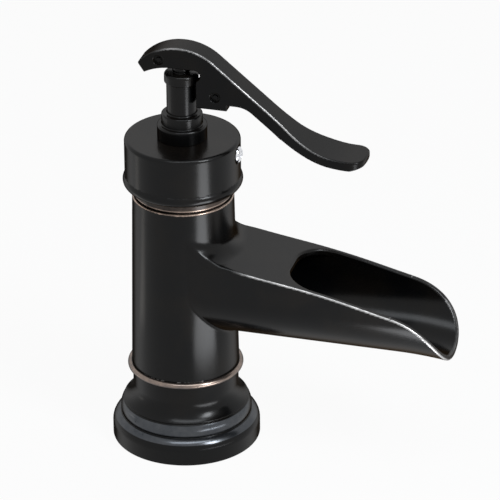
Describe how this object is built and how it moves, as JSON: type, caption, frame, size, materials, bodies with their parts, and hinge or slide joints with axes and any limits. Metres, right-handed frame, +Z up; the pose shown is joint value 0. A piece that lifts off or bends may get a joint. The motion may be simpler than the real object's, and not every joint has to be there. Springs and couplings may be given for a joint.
{
  "type": "basin faucet",
  "caption": "Hand-pump style basin mixer: turned column on a stepped base, open trough spout, and a lever on a cap that tilts for flow and turns for temperature.",
  "frame": {"origin": "centre of the base on the deck", "axes": "+Z up along the column, -Y towards the spout's lip, +X to the right of someone who stands at the lip and faces the column"},
  "size_m": [0.0648, 0.1536, 0.1876],
  "materials": {
    "dark_bronze": "glossy near-black oil-rubbed bronze, rubbed through to copper along edges and beads",
    "rubbed_copper": "dark bronze rubbed to brown copper",
    "chrome": "bright chrome plate",
    "rubber": "black moulded rubber",
    "white_plastic": "white moulded plastic",
    "grey_plastic": "grey moulded plastic",
    "alumina": "lapped white alumina",
    "steel": "plain stainless steel",
    "plain_brass": "plain machined brass"
  },
  "bodies": {
    "base": {"faucet_body": "dark_bronze", "base_flange": "dark_bronze", "deck_gasket": "rubber", "flange_oring": "rubber", "cartridge_base": "white_plastic", "port_seals": "rubber", "fixed_disc": "alumina", "cartridge_housing": "white_plastic", "retaining_nut": "plain_brass", "trim_ring": "rubbed_copper"},
    "swivel": {"cartridge_rotor": "grey_plastic", "pivot_pin": "steel"},
    "handle": {"cartridge_stem": "plain_brass", "handle_cap": "dark_bronze", "cap_screw": "chrome", "lever_post": "dark_bronze", "post_screw": "steel", "pump_lever": "dark_bronze"},
    "valve_disc": {"moving_disc": "alumina", "disc_carrier": "grey_plastic"}
  },
  "joints": [
    {"name": "handle_swivel", "type": "hinge", "parent": "base", "child": "swivel", "pos_m": [0, 0, 0.1173], "axis": [0, 0, 1], "range_deg": [-45, 45]},
    {"name": "handle_lift", "type": "hinge", "parent": "swivel", "child": "handle", "pos_m": [0, 0, 0.1173], "axis": [-1, 0, 0], "range_deg": [0, 20]},
    {"name": "disc_slide", "type": "slide", "parent": "swivel", "child": "valve_disc", "axis": [0, -1, 0], "range_m": [0, 0.0026]}
  ],
  "couplings": [
    {"joint": "disc_slide", "follows": "handle_lift", "m_per_rad": 0.007035}
  ]
}
